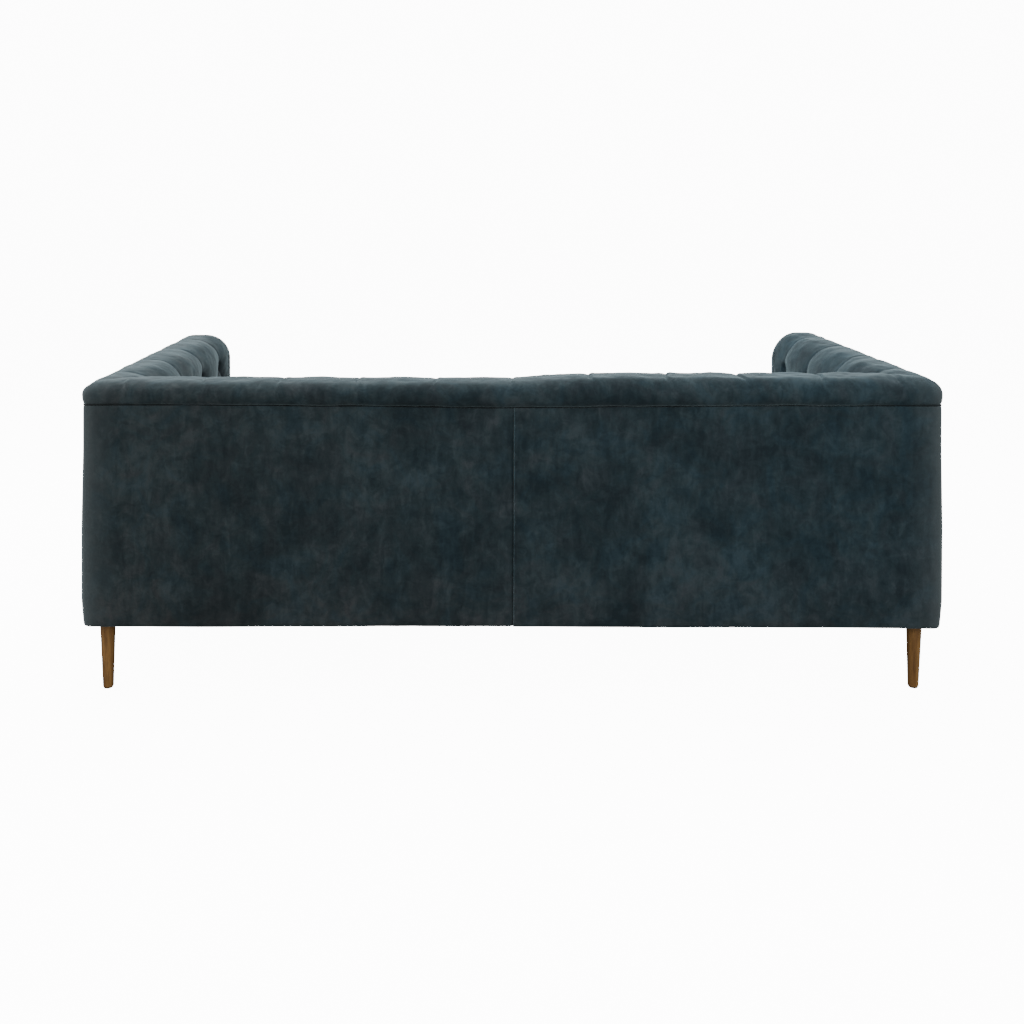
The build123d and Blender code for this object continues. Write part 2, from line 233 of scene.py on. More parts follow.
def tube_piece(name, path, radius, material, closed=False, body=BODY, sides=10):
    """A round cord of fabric along a path of points."""
    path = np.asarray(path, float)
    count = len(path)
    if closed:
        tangent = np.roll(path, -1, axis=0) - np.roll(path, 1, axis=0)
    else:
        tangent = np.gradient(path, axis=0)
    tangent /= np.linalg.norm(tangent, axis=1, keepdims=True)
    guide = np.array((0.0, 0.0, 1.0))
    if np.abs(tangent @ guide).max() > 0.9:
        guide = np.array((0.0, 1.0, 0.0))
    side = np.cross(tangent, guide)
    side /= np.linalg.norm(side, axis=1, keepdims=True)
    rise = np.cross(side, tangent)
    angles = np.linspace(0, 2 * math.pi, sides, endpoint=False)
    ring = side[:, None] * np.cos(angles)[:, None] + rise[:, None] * np.sin(angles)[:, None]
    points = path[:, None] + radius * ring
    faces = []
    for i in range(count if closed else count - 1):
        j = (i + 1) % count
        for k in range(sides):
            m = (k + 1) % sides
            faces.append((i * sides + k, i * sides + m, j * sides + m, j * sides + k))
    if not closed:
        faces.append(tuple(range(sides)))
        faces.append(tuple((count - 1) * sides + k for k in reversed(range(sides))))
    return new_piece(name, points.reshape(-1, 3), faces, material, body)


def ripple(a, b, wavelength, seed, count=9):
    """Smooth seeded unevenness from a few waves in random directions, about -1 to 1."""
    rng = np.random.default_rng(seed)
    total = 0.0
    for _ in range(count):
        angle = rng.uniform(0, 2 * math.pi)
        turn = 2 * math.pi / (wavelength * rng.uniform(0.65, 1.6))
        along = a * math.cos(angle) + b * math.sin(angle)
        total = total + np.sin(turn * along + rng.uniform(0, 6.28))
    return total / math.sqrt(count)


def eased(value):
    """0 to 1 with a soft start and end."""
    value = np.clip(value, 0, 1)
    return value**2 * (3 - 2 * value)


def near(distance, reach):
    """1 on a seam, fading away from it."""
    return np.exp(-np.abs(distance) / reach)


# ---------------------------------------------------------------- the walls' plan and section


def superellipse(angle, power):
    return np.abs(np.cos(angle)) ** (2 / power), np.abs(np.sin(angle)) ** (2 / power)


def developed(line):
    """Length along a line of points, at each point."""
    return np.concatenate([[0], np.cumsum(np.linalg.norm(np.diff(line, axis=0), axis=1))])


def wall_section():
    """The inner cover's section from the outer seam, over the roll, down to the deck.

    Gives distance from the outer face, height, outward normal and developed length."""
    lip_z = SEAM + ROLL_LIP - ROLL_LIP_RISE
    turn = np.linspace(math.pi / 2, 0, 12)[:-1]
    lip = np.stack([-ROLL_BULGE + (SEAM_TUCK + ROLL_BULGE) * (1 - np.cos(turn)),
                    lip_z - ROLL_LIP * np.sin(turn)], axis=1)
    across, up = superellipse(np.linspace(0, math.pi / 2, 60), OUTER_SQUARENESS)
    outer = np.stack([ROLL_OUTER - (ROLL_OUTER + ROLL_BULGE) * across,
                      lip_z + (TOP - lip_z) * up], axis=1)
    across, up = superellipse(np.linspace(math.pi / 2, 0, 60), INNER_SQUARENESS)
    inner_z = TOP - ROLL_INNER_RISE
    inner = np.stack([WALL - ROLL_INNER + ROLL_INNER * across,
                      inner_z + ROLL_INNER_RISE * up], axis=1)
    line = np.concatenate([lip, outer, inner, [[WALL, DECK + FOOT_GAP]]])
    length = developed(line)
    keep = np.concatenate([[True], np.diff(length) > 1e-6])
    line, length = line[keep], length[keep]
    rows = int(length[-1] / GRID)
    b = np.linspace(0, length[-1], rows)
    u = np.interp(b, length, line[:, 0])
    z = np.interp(b, length, line[:, 1])
    du, dz = np.gradient(u), np.gradient(z)
    size = np.hypot(du, dz)
    return u, z, -dz / size, du / size, b


def corner_parameter(straight_columns):
    """Column parameters from 0 to 1, with extra columns round one corner."""
    straight = np.linspace(0, CORNER_SHARE, straight_columns)
    corner = np.linspace(CORNER_SHARE, 1, CORNER_COLUMNS)[1:]
    return np.concatenate([straight, corner])


def back_plan(t, u):
    """Plan position on the back, from one corner's diagonal (t = -1) to the other's (t = 1)."""
    radius = np.maximum(CORNER - u, CORNER_MIN)
    s = np.abs(t)
    centre = HALF_WIDTH - u - radius
    angle = math.pi / 2 - math.pi / 4 * np.clip((s - CORNER_SHARE) / (1 - CORNER_SHARE), 0, 1)
    x = np.where(s <= CORNER_SHARE, s / CORNER_SHARE * centre, centre + radius * np.cos(angle))
    y = REAR - u - radius + radius * np.sin(angle)
    return np.sign(t) * x, y


def arm_plan(t, u):
    """Plan position on the left arm, from its front (0) to the corner's diagonal (1)."""
    radius = np.maximum(CORNER - u, CORNER_MIN)
    centre = REAR - u - radius
    angle = math.pi / 4 * np.clip((t - CORNER_SHARE) / (1 - CORNER_SHARE), 0, 1)
    run = ARM_FRONT + t / CORNER_SHARE * (centre - ARM_FRONT)
    y = np.where(t <= CORNER_SHARE, run, centre + radius * np.sin(angle))
    x = HALF_WIDTH - u - radius + radius * np.cos(angle)
    return x, y


def crease(turns):
    """0 on a pleat and 1 half way between two, with a rounded bottom."""
    return np.sqrt(np.sin(math.pi * turns) ** 2 + CREASE_SOFTNESS**2) - CREASE_SOFTNESS


def pleat_wander(a, z_drop):
    """Pleats over the roll don't run quite straight."""
    wander = WANDER * ripple(0.5 * a, z_drop, WANDER_LENGTH, 7)
    return wander * np.clip(-z_drop / WANDER_RUN, 0, 1)


def tuft_depth(a, z_drop, share, origin, pitch, columns, seed):
    """How far the cover is pulled in: diamonds between buttons, straight pleats over the roll."""
    steps = np.clip(z_drop, 0, 2 * ROW_STEP) / (2 * ROW_STEP)
    along = (a + pleat_wander(a, z_drop) - origin) / pitch
    pillow = np.clip(crease(along + steps) * crease(along - steps), 0, 1) ** PILLOW_POWER
    rng = np.random.default_rng(seed)
    depth = TUFT_DEPTH * share * (1 - pillow)
    first = origin - (columns - 1) / 2 * pitch * (columns == BACK_BUTTONS)
    for row in range(BUTTON_ROWS):
        for i in range(columns - row % 2):
            da = a - (first + (i + (row % 2) / 2) * pitch)
            db = z_drop - row * ROW_STEP
            distance = np.hypot(da, db)
            wave = np.cos(GATHER_FOLDS * np.arctan2(db, da) + rng.uniform(0, 6))
            depth = depth + GATHER_DEPTH * wave * np.exp(-distance / GATHER_REACH) * share
            pit = np.exp(-((distance / PIT_RADIUS) ** PIT_POWER))
            depth = depth + (PIT_DEPTH - depth) * pit
    return depth


def pleat_share(b, crest_b, face_b, past_crest):
    """How deep the pleats are: shallow at the outer seam, deep on the inner face."""
    places = [0, SHALLOW_END, crest_b, crest_b + CREST_RUN, face_b, face_b + FACE_RUN]
    return np.interp(b, places, [*PLEAT_SHARES, past_crest, INNER_EDGE_SHARE, 1.0])


def fuller_side(x):
    """The roll is stuffed a little fuller on the right half of the back and on the right arm."""
    return eased((FULLER_START - x) / FULLER_RUN)


def roll_rise(x, z):
    """How far the stuffing lifts the roll."""
    lift = np.clip((z - SEAM) / (TOP - SEAM), 0, 1)
    return (ROLL_LIFT + FULLER_LIFT * fuller_side(x)) * lift**2


def seam_dip(x):
    """The long seam hangs a little lower in the middle of the back."""
    sag = -SEAM_SAG * np.exp(-((x / SEAM_SAG_REACH) ** 2))
    return sag + 0.0008 * ripple(x, 0 * x, 0.25, 5)


def unevenness(a, b, share, seed):
    """Broad and fine lumps in the stuffing."""
    broad = (UNEVEN_SHARE * share + UNEVEN) * ripple(a, b, UNEVEN_LENGTH, seed + 1)
    return broad + UNEVEN_FINE * ripple(a, b, UNEVEN_FINE_LENGTH, seed + 2)


def pleat_fold(a, b, z_drop, origin, pitch):
    """The fold along each pleat over the roll: steep on one side, soft on the other."""
    turns = (a + pleat_wander(a, z_drop) - origin) / pitch
    tuck = (turns - np.round(turns)) * pitch
    above = np.clip(-z_drop / 0.02, 0, 1) * np.clip(b / 0.05 - 0.1, 0, 1)
    fold = np.where(tuck > 0, near(tuck, FOLD_REACH[1]), near(tuck, FOLD_REACH[0]))
    lip = np.exp(-(((tuck + FOLD_LIP_PLACE) / FOLD_LIP_WIDTH) ** 2))
    return above * (FOLD_DEPTH * fold - FOLD_LIP * lip)


def roll_swell(a, b, x):
    """How far the back's roll bulges over the seam."""
    inboard = eased((HALF_WIDTH - BULGE_MARGIN - np.abs(a)) / BULGE_FADE)
    swell = np.sin(math.pi * np.clip(b / BULGE_LENGTH, 0, 1) ** BULGE_SKEW) ** 2
    return BACK_BULGE * (1 + FULLER_BULGE * fuller_side(x)) * swell * inboard


def inner_cover(name, t, plan, sign, tufting, material, replaced):
    """One tufted wall, on the grid of a plan function and the wall's section."""
    is_back = plan is back_plan
    u, z, normal_u, normal_z, b = wall_section()
    crest_b = b[np.argmax(z)]
    face_b = b[np.argmax(u >= WALL - 1e-4)]
    face_z = np.interp(face_b, b, z)
    b = b[:, None]
    share = pleat_share(b, crest_b, face_b, PAST_CREST_BACK if is_back else PAST_CREST_ARM)
    z_drop = ROW_TOP - face_z + b - face_b
    grid_t, grid_u = np.meshgrid(t, u)
    x, y = plan(grid_t, grid_u)
    a = x if is_back else y
    origin, pitch, columns, seed = tufting
    depth = tuft_depth(a, z_drop + 0 * a, share, origin, pitch, columns, seed)
    mitre = np.abs((HALF_WIDTH - np.abs(x)) - (REAR - y)) / math.sqrt(2)
    if not is_back:
        depth += 0.0025 * near(y - ARM_FRONT, 0.006)
    depth += unevenness(a, b + 0 * a, share, seed)
    depth += (1.0 if is_back else ARM_FOLD) * pleat_fold(a, b, z_drop, origin, pitch)
    depth = np.maximum(depth, -PROUD_LIMIT)
    if is_back:
        depth -= roll_swell(a, b, x)
    common = np.clip(1 - mitre / MITRE_REACH, 0, 1) ** 2
    depth = depth * (1 - common) + (MITRE_MIN + MITRE_DEPTH * share) * common
    x, y = plan(grid_t, grid_u - normal_u[:, None] * depth)
    moved_z = z[:, None] - normal_z[:, None] * depth
    dip = seam_dip(x if is_back else 0 * x + HALF_WIDTH)
    moved_z = moved_z + np.clip(1 - b / 0.05, 0, 1) * dip
    moved_z = moved_z + roll_rise(sign * x, moved_z)
    points = np.stack([sign * x, y, moved_z], axis=-1)
    piece = grid_piece(name, points, material, flip=sign < 0)
    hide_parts(*replaced)


def build_inner_covers(material):
    """Tufted cover of the back and of both arms."""
    half = corner_parameter(int(HALF_WIDTH / GRID))
    t = np.concatenate([-half[::-1], half[1:]])
    inner_cover("tufted_back", -t, back_plan, 1, (0.0, BACK_PITCH, BACK_BUTTONS, 11), material,
                ["inside_back_cover", "inside_back_foam"])
    t = corner_parameter(int((REAR - FRONT) / GRID))
    for side, sign in SIDES.items():
        inner_cover("tufted_arm_" + side, t, arm_plan, sign,
                    (ARM_FIRST, ARM_PITCH, ARM_BUTTONS, 21 + sign), material,
                    ["inside_arm_cover_" + side, "inside_arm_foam_" + side])


# ---------------------------------------------------------------- outside panels and welts


def panel_profile(z):
    """Distance in from the outer face: a fuller foot, and tucks at the seam and the bottom edge."""
    offset = np.interp((z - BOTTOM) / (SEAM - BOTTOM), PANEL_HEIGHTS, PANEL_INSETS)
    return (offset + PANEL_SEAM_TUCK * near(z - SEAM, 0.004)
            + PANEL_FOOT_TUCK * near(z - BOTTOM, 0.005))


def panel_offset(z, along, lap, seed):
    """The profile with a hand-pulled cover's slack, and a lapped seam at the middle of the back."""
    offset = panel_profile(z) + 0.0009 * ripple(along, z, 0.34, seed)
    offset = offset + 0.0003 * ripple(along, z, 0.09, seed + 1)
    if lap:
        waves = z * 2 * math.pi / PUCKER_LENGTH + ripple(along, z, 0.08, seed + 2)
        offset = offset + lap * near(along, LAPPED_REACH)
        offset = offset + PUCKER * np.sin(waves) * near(along, PUCKER_REACH)
    return offset


def outside_panel(name, t, plan, sign, lap, seed, material, replaced):
    """One plain outside panel, turned under at the bottom."""
    is_back = plan is back_plan
    rows = np.linspace(SEAM - PANEL_ROWS_START, BOTTOM + PANEL_ROWS_END,
                       int((SEAM - BOTTOM) / PANEL_GRID))
    z = np.concatenate([SEAM - np.array(PANEL_TOP_ROWS), rows])
    rows = len(z)
    z_all = np.concatenate([z, BOTTOM + np.array(PANEL_TURN_RISE)])[:, None]
    grid_t = np.broadcast_to(t, (len(z_all), len(t)))
    x, y = plan(grid_t, 0 * grid_t + 0.002)
    a = x if is_back else y
    grid_z = z_all + 0 * a
    shared = np.clip((grid_t - CORNER_BLEND) / (CORNER_SHARE - CORNER_BLEND), 0, 1)
    level_z = np.maximum(grid_z, BOTTOM)
    offset = panel_offset(level_z, a, lap, seed) * (1 - shared) + panel_profile(level_z) * shared
    offset = np.minimum(offset, PANEL_LIMIT)
    offset[rows:] = offset[rows - 1] + np.array(PANEL_TURN_INSET)[:, None]
    x, y = plan(grid_t, offset)
    share = (grid_z - BOTTOM) / (SEAM - BOTTOM)
    droop = DROOP * np.clip((-DROOP_START - sign * x) / DROOP_RUN, 0, 1)
    slack = SLACK * (1 + (1 - shared) * ripple(a, 0 * a, 0.5, seed + 3))
    sag = -(1 - share) * (slack + droop)
    grid_z = grid_z + share * seam_dip(x if is_back else 0 * x + HALF_WIDTH) + sag
    points = np.stack([sign * x, y, grid_z], axis=-1)
    flip = sign > 0 if is_back else sign < 0
    piece = grid_piece(name, points, material, flip=flip)
    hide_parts(replaced)


def build_outside(material, dark, pale):
    """Outside panels, the flat welt in the long seam, and a painted highlight along the edge of the
    middle seam.
    """
    half = corner_parameter(int(HALF_WIDTH / PANEL_GRID))
    half = np.concatenate([half[:1], np.array(LAP_COLUMNS) / HALF_WIDTH, half[1:]])
    t = corner_parameter(int((REAR - FRONT) / PANEL_GRID))
    for side, lap, seed in (("left", LEFT_LAP, 31), ("right", RIGHT_LAP, 37)):
        outside_panel("outside_back_" + side, half, back_plan, SIDES[side], lap, seed, material,
                      "outside_back_panel_" + side)
    for side, sign in SIDES.items():
        outside_panel("outside_arm_" + side, t, arm_plan, sign, 0, 41 + sign, material,
                      "outside_arm_panel_" + side)
    inset = np.array(SEAM_WELT_INSET)
    x, y = back_plan(np.concatenate([-half[::-1], half[1:]]), inset)
    back = np.stack([x, y, SEAM - SEAM_WELT_DROP + seam_dip(x)], axis=-1)
    x, y = arm_plan(t[:-1], inset)
    arm = np.stack([x, y, SEAM - SEAM_WELT_DROP + seam_dip(0 * x + HALF_WIDTH)], axis=-1)
    path = np.concatenate([arm * np.array((-1, 1, 1)), back, arm[::-1]])
    # Painted shade: the welt's darkened velvet stands in for the shadow in the long seam
    welt = tube_piece("long_seam_welt", path, SEAM_WELT, dark, sides=8)
    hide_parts("top_welt")
    z = np.linspace(BOTTOM + 0.003, SEAM - 0.006, 90)
    offset = np.minimum(panel_offset(z, 0 * z + 0.002, RIGHT_LAP, 37), PANEL_LIMIT)
    x = PAINTED_HIGHLIGHT_EDGE_PLACE + 0.0003 * ripple(z, 0 * z, 0.05, 39)
    ridge = np.stack([x, REAR - offset, z], axis=-1)
    # Painted highlight: a thin ridge of velvet twice as pale along the lapped seam, standing in for
    # light caught on its edge
    tube_piece("middle_seam_edge", ridge, PAINTED_HIGHLIGHT_EDGE, pale, sides=8)


def arm_top(u):
    """Height of the wall's section at a distance from the outer face."""
    section_u, section_z = wall_section()[:2]
    rise = np.argmax(section_z)
    outer = np.interp(u, section_u[:rise], section_z[:rise])
    inner = np.interp(u, section_u[rise:], section_z[rise:])
    return np.where(u < section_u[rise], outer, inner)


def front_flare(z):
    """The outside panel's profile below the seam's tuck, which the arm front's edge follows."""
    return panel_profile(np.minimum(z, SEAM - 0.03))


def arm_front_points(sign, u, v):
    """One arm's padded front: its edges meet the outside panel and the roll, and turn back."""
    grid_v, grid_u = np.meshgrid(v, u, indexing="ij")
    low = BOTTOM + FRONT_GAP
    top = arm_top(u) + roll_rise(sign * (HALF_WIDTH - u), arm_top(u)) - FRONT_GAP
    grid_z = low + grid_v * (top - low)
    flare = (front_flare(grid_z) - FRONT_GAP) * np.clip(1 - grid_u / FRONT_FLARE_REACH, 0, 1)
    across = np.minimum(grid_u, WALL - grid_u)
    edge = np.minimum(across, np.minimum(grid_z - low, top - grid_z))
    puff = FRONT_PUFF * np.clip(edge / FRONT_PUFF_REACH, 0, 1) ** 0.5
    y = ARM_FRONT - FRONT_GAP - puff - 0.0007 * ripple(grid_u, grid_z, 0.09, 51 + sign)
    points = np.stack([sign * (HALF_WIDTH - grid_u - flare), y, grid_z], axis=-1)
    points = np.concatenate([points[:1], points, points[-1:]])
    points = np.concatenate([points[:, :1], points, points[:, -1:]], axis=1)
    for border in (points[0], points[-1], points[:, 0], points[:, -1]):
        border[:, 1] = ARM_FRONT + FRONT_RETURN
    return points


def build_arm_fronts(material):
    """The arms' padded front panels with a welt round each."""
    u = np.concatenate([[0.0, 0.002], np.linspace(0.006, WALL - 0.004, 44),
                        [WALL - 0.0015, WALL - 0.0005]])
    v = np.concatenate([[0, 0.004], np.linspace(0.012, 0.985, 110), [0.994, 1.0]])
    section_u, section_z = wall_section()[:2]
    slope_u, slope_z = np.gradient(section_u), np.gradient(section_z)
    inward = np.stack([slope_z, -slope_u]) / np.hypot(slope_u, slope_z) * FRONT_WELT_SUNK
    start = np.argmax(section_z > SEAM + 0.010)
    stop = np.argmax(section_u >= WALL - 1e-4)
    rise = np.linspace(BOTTOM + 0.004, SEAM, 50)
    fall = np.linspace(section_z[stop] - 0.004, BOTTOM + 0.004, 60)
    outline_u = np.concatenate([front_flare(rise) + FRONT_WELT_SUNK,
                                (section_u + inward[0])[start:stop],
                                0 * fall + WALL - FRONT_WELT_SUNK])
    outline_z = np.concatenate([rise, (section_z + inward[1])[start:stop], fall])
    for side, sign in SIDES.items():
        points = arm_front_points(sign, u, v)
        piece = grid_piece("arm_front_" + side, points, material, flip=sign < 0)
        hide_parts("arm_front_facing_" + side)
        x = sign * (HALF_WIDTH - outline_u)
        z = outline_z + roll_rise(x, outline_z)
        path = np.stack([x, 0 * x + ARM_FRONT - FRONT_GAP, z], axis=-1)
        tube_piece("arm_front_welt_" + side, path, FRONT_WELT, material)


def build_front_border(material):
    """The padded strip under the cushions."""
    end = border_high.x + BORDER_TUCK
    x = np.linspace(-end, end, 300)
    height = border_high.z - border_low.z
    v = np.array([0, 0.02, 0.05] + list(np.linspace(0.1, 0.9, 14)) + [0.95, 0.98, 1.0])
    grid_v, grid_x = np.meshgrid(v, x, indexing="ij")
    z = border_low.z + 0.001 + grid_v * (height + 0.0015)
    puff = BORDER_PUFF * (np.clip(np.minimum(grid_v, 1 - grid_v) / 0.12, 0, 1)) ** 0.5
    y = FRONT + 0.0035 - puff - 0.0006 * ripple(grid_x, z, 0.12, 61)
    under = np.stack([x, 0 * x + FRONT + 0.02, 0 * x + border_low.z], axis=-1)[None]
    top = np.stack([x, 0 * x + FRONT + 0.03, 0 * x + DECK], axis=-1)[None]
    points = np.concatenate([under, np.stack([grid_x, y, z], axis=-1), top])
    piece = grid_piece("front_border", points, material)
    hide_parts("front_border_cover", "front_border_pad")


def build_deck(lining):
    """The flat deck under the cushions, tucked in under the inside covers."""
    x = np.linspace(deck_low.x - DECK_TUCK, deck_high.x + DECK_TUCK, 150)
    y = np.linspace(FRONT + DECK_START, deck_high.y + DECK_TUCK, 60)
    grid_x, grid_y = np.meshgrid(x, y)
    z = DECK - 0.001 - 0.0012 * (1 + ripple(grid_x, grid_y, 0.22, 63)) / 2
    points = np.stack([grid_x, grid_y, z], axis=-1)
    deck = grid_piece("deck_lining", points, lining)
    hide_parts("deck_cover", "deck_pad")


# ---------------------------------------------------------------- cushions

# Plan and piping, cloth simulation and crown, and how the piping finds the cushion's edge
CUSHION_INSET = 0.004
CUSHION_RADIUS = 0.032
WELT_RADIUS = 0.0042
WELT_DROP = 0.010
LOW_WELT_SHIFT = 0.004
CUSHION_VOXEL = 0.009
CLOTH_PRESSURE = 4.0
CLOTH_STEPS = 20
CROWN = 0.012
CROWN_LIMIT = 0.022
EDGE_BAND = 0.0035
EDGE_REACH = 0.010
EDGE_LIMIT = 0.015
EDGE_PROUD = 0.0015


def rounded_outline(low, high, radius, step=0.01):
    """A closed plan outline with round corners, as an array of points."""
    points = []
    corners = [(high.x - radius, high.y - radius, 0), (low.x + radius, high.y - radius, 90),
               (low.x + radius, low.y + radius, 180), (high.x - radius, low.y + radius, 270)]
    for cx, cy, start in corners:
        for k in range(9):
            angle = math.radians(start + 90 * k / 8)
            points.append((cx + radius * math.cos(angle), cy + radius * math.sin(angle)))
    points = np.array(points + points[:1])
    length = developed(points)
    s = np.linspace(0, length[-1], int(length[-1] / step), endpoint=False)
    return np.stack([np.interp(s, length, points[:, k]) for k in range(2)], axis=1)


def apply_modifiers(piece):
    """Bakes a piece's modifiers into its mesh."""
    graph = bpy.context.evaluated_depsgraph_get()
    mesh = bpy.data.meshes.new_from_object(piece.evaluated_get(graph))
    piece.modifiers.clear()
    piece.data = mesh


def inflate(piece, seam_points):
    """Swells a cushion by cloth simulation, with its piped edges held."""
    remesh = piece.modifiers.new("remesh", "REMESH")
    remesh.mode = "VOXEL"
    remesh.voxel_size = CUSHION_VOXEL
    apply_modifiers(piece)
    start = np.array([v.co for v in piece.data.vertices])
    nearest = np.full(len(start), 1.0)
    for seam in seam_points:
        gap = start[:, None, :2] - seam[None, ::2, :2]
        flat = np.sqrt((gap**2).sum(-1)).min(axis=1)
        nearest = np.minimum(nearest, np.hypot(flat, start[:, 2] - seam[0, 2]))
    held = piece.vertex_groups.new(name="held")
    held.add([int(i) for i in np.nonzero(nearest < CUSHION_VOXEL)[0]], 1.0, "REPLACE")
    cloth = piece.modifiers.new("cloth", "CLOTH")
    settings = cloth.settings
    settings.use_pressure = True
    settings.uniform_pressure_force = CLOTH_PRESSURE
    settings.effector_weights.gravity = 0.0
    settings.tension_stiffness = 12.0
    settings.bending_stiffness = 1.5
    settings.vertex_group_mass = "held"
    settings.quality = 4
    scene = bpy.context.scene
    for step in range(1, CLOTH_STEPS + 1):
        scene.frame_set(step)
    apply_modifiers(piece)
    scene.frame_set(1)
    end = np.array([v.co for v in piece.data.vertices])
    move = end - start
    size = np.linalg.norm(move, axis=1, keepdims=True)
    return start + move * np.minimum(1, CROWN_LIMIT / np.maximum(size, 1e-9))


def edge_path(piece, seam):
    """A seam's line moved in to the cushion's real edge, for its piping."""
    points = np.array([v.co for v in piece.data.vertices])
    band = points[np.abs(points[:, 2] - seam[0, 2]) < EDGE_BAND][:, :2]
    tangent = (np.roll(seam, -1, axis=0) - np.roll(seam, 1, axis=0))[:, :2]
    tangent /= np.linalg.norm(tangent, axis=1, keepdims=True)
    outward = np.stack([tangent[:, 1], -tangent[:, 0]], axis=1)
    gap = band[None] - seam[:, None, :2]
    beside = np.abs((gap * tangent[:, None]).sum(-1)) < EDGE_REACH
    reach = np.where(beside, (gap * outward[:, None]).sum(-1), -1.0).max(axis=1)
    reach = np.clip(reach, -EDGE_LIMIT, 0.0)
    reach = sum(np.roll(reach, k) for k in range(-4, 5)) / 9
    moved = seam.copy()
    moved[:, :2] += outward * (reach + EDGE_PROUD)[:, None]
    return moved


def build_cushion(side, sign, velvet, dark):
    """One loose seat cushion: a crowned, piped case with a pulled-in boxing band."""
    body = "seat_cushion_" + side
    low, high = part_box("cushion_boxing_" + side)
    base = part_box("cushion_bottom_panel_" + side)[0].z
    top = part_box("cushion_top_panel_" + side)[1].z
    inset = Vector((CUSHION_INSET, CUSHION_INSET, 0))
    outline = rounded_outline(low + inset, high - inset, CUSHION_RADIUS)
    bottom_seam = base + WELT_DROP - LOW_WELT_SHIFT
    top_seam = top - WELT_DROP
    seams = [np.column_stack([outline, 0 * outline[:, 0] + z]) for z in (bottom_seam, top_seam)]
    count = len(outline)
    vertices = np.concatenate(seams)
    faces = [(i, (i + 1) % count, count + (i + 1) % count, count + i) for i in range(count)]
    faces += [tuple(reversed(range(count))), tuple(range(count, 2 * count))]
    piece = new_piece("seat_cushion_" + side, vertices, faces, velvet, body)
    co = inflate(piece, seams)
    middle = (np.array(low) + np.array(high)) / 2
    half = (np.array(high) - np.array(low)) / 2
    across = np.clip(np.abs((co - middle) / half), 0, 1)
    crown = (1 - across[:, 0] ** 4) * (1 - across[:, 1] ** 4)
    on_top = np.clip((co[:, 2] - top_seam + 0.004) / 0.006, 0, 1)
    co[:, 2] += on_top * (CROWN * crown + 0.0011 * ripple(co[:, 0], co[:, 1], 0.16, 71 + sign)
                          + 0.0005 * ripple(co[:, 0], co[:, 1], 0.05, 73 + sign))
    co[:, 0] = np.clip(co[:, 0], low.x + 0.0003, high.x - 0.0003)
    co[:, 1] = np.clip(co[:, 1], low.y - 0.012, high.y - 0.0003)
    co[:, 2] = np.maximum(co[:, 2], base + 0.0002)
    piece.data.vertices.foreach_set("co", co.ravel())
    piece.data.polygons.foreach_set("use_smooth", [True] * len(piece.data.polygons))
    piece.data.update()
    smooth = piece.modifiers.new("soften", "CORRECTIVE_SMOOTH")
    smooth.use_only_smooth = True
    smooth.iterations = 4
    subdivide = piece.modifiers.new("subdivide", "SUBSURF")
    subdivide.levels = 1
    subdivide.render_levels = 1
    apply_modifiers(piece)
    if not piece.data.materials:
        piece.data.materials.append(velvet)
    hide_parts(*["cushion_" + part + "_" + side for part in
                         ("foam", "boxing", "top_panel", "bottom_panel")])
    for label, seam in zip(("bottom", "top"), seams):
        path = edge_path(piece, seam)
        tube_piece("cushion_piping_" + label + "_" + side, path, WELT_RADIUS, dark, closed=True,
                   body=body)


# Zips: two rows of teeth, a slider and its pull
ZIP_PITCH = 0.0042
ZIP_STEP = 0.0011
ZIP_TOOTH = (0.0027, 0.0014, 0.0052)
ZIP_SLIDER = (0.0110, 0.0020, 0.0090)
ZIP_PULL = (0.0055, 0.0012, 0.0240)
ZIP_END = 0.010
BLOCK_FACES = ((0, 1, 2, 3), (7, 6, 5, 4), (1, 0, 4, 5), (2, 1, 5, 6), (3, 2, 6, 7),
               (0, 3, 7, 4))


def block(vertices, faces, centre, size, slope=0.25):
    """Adds a block whose outer face (+Y) is smaller than its inner one."""
    start = len(vertices)
    for y, share in ((-0.5, 1.0), (0.5, 1.0 - slope)):
        for x, z in ((-0.5, -0.5), (0.5, -0.5), (0.5, 0.5), (-0.5, 0.5)):
            vertices.append((centre[0] + x * share * size[0], centre[1] + y * size[1],
                             centre[2] + z * share * size[2]))
    for face in BLOCK_FACES:
        faces.append(tuple(start + k for k in face))


def build_zip(side, sign, nylon, tape):
    """The zip in a cushion's rear boxing: woven tape, two rows of teeth, a slider and its pull."""
    body = "seat_cushion_" + side
    low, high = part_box("cushion_zip_" + side)
    middle = (low.z + high.z) / 2
    face = high.y - 0.0010
    x = np.linspace(low.x, high.x, 120)
    v = np.array([0.0, 0.01, 0.06, 0.3, 0.44, 0.5, 0.56, 0.7, 0.94, 0.99, 1.0])
    grid_v, grid_x = np.meshgrid(v, x, indexing="ij")
    z = low.z + grid_v * (high.z - low.z)
    y = face + 0.0002 * ripple(grid_x, z, 0.05, 81 + sign) - 0.0006 * near(grid_v - 0.5, 0.05)
    y[0] = y[-1] = low.y
    points = np.stack([grid_x, y, z], axis=-1)
    strip = grid_piece("zip_tape_" + side, points, tape, body, flip=True)
    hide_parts("cushion_zip_" + side)
    vertices, faces = [], []
    place, row = low.x + ZIP_END, 0
    while place < high.x - ZIP_END:
        height = middle + ZIP_STEP * (1 - 2 * (row % 2))
        block(vertices, faces, (place, face + 0.0003, height), ZIP_TOOTH)
        place += ZIP_PITCH / 2
        row += 1
    end = low.x + 2 * ZIP_END
    block(vertices, faces, (end, face + 0.0006, middle), ZIP_SLIDER)
    block(vertices, faces, (end, face + 0.0010, middle - 0.013), ZIP_PULL)
    teeth = new_piece("zip_teeth_" + side, vertices, faces, nylon, body)
    bevel = teeth.modifiers.new("bevel", "BEVEL")
    bevel.width = 0.0003
    bevel.segments = 2
    apply_modifiers(teeth)


# ---------------------------------------------------------------- materials


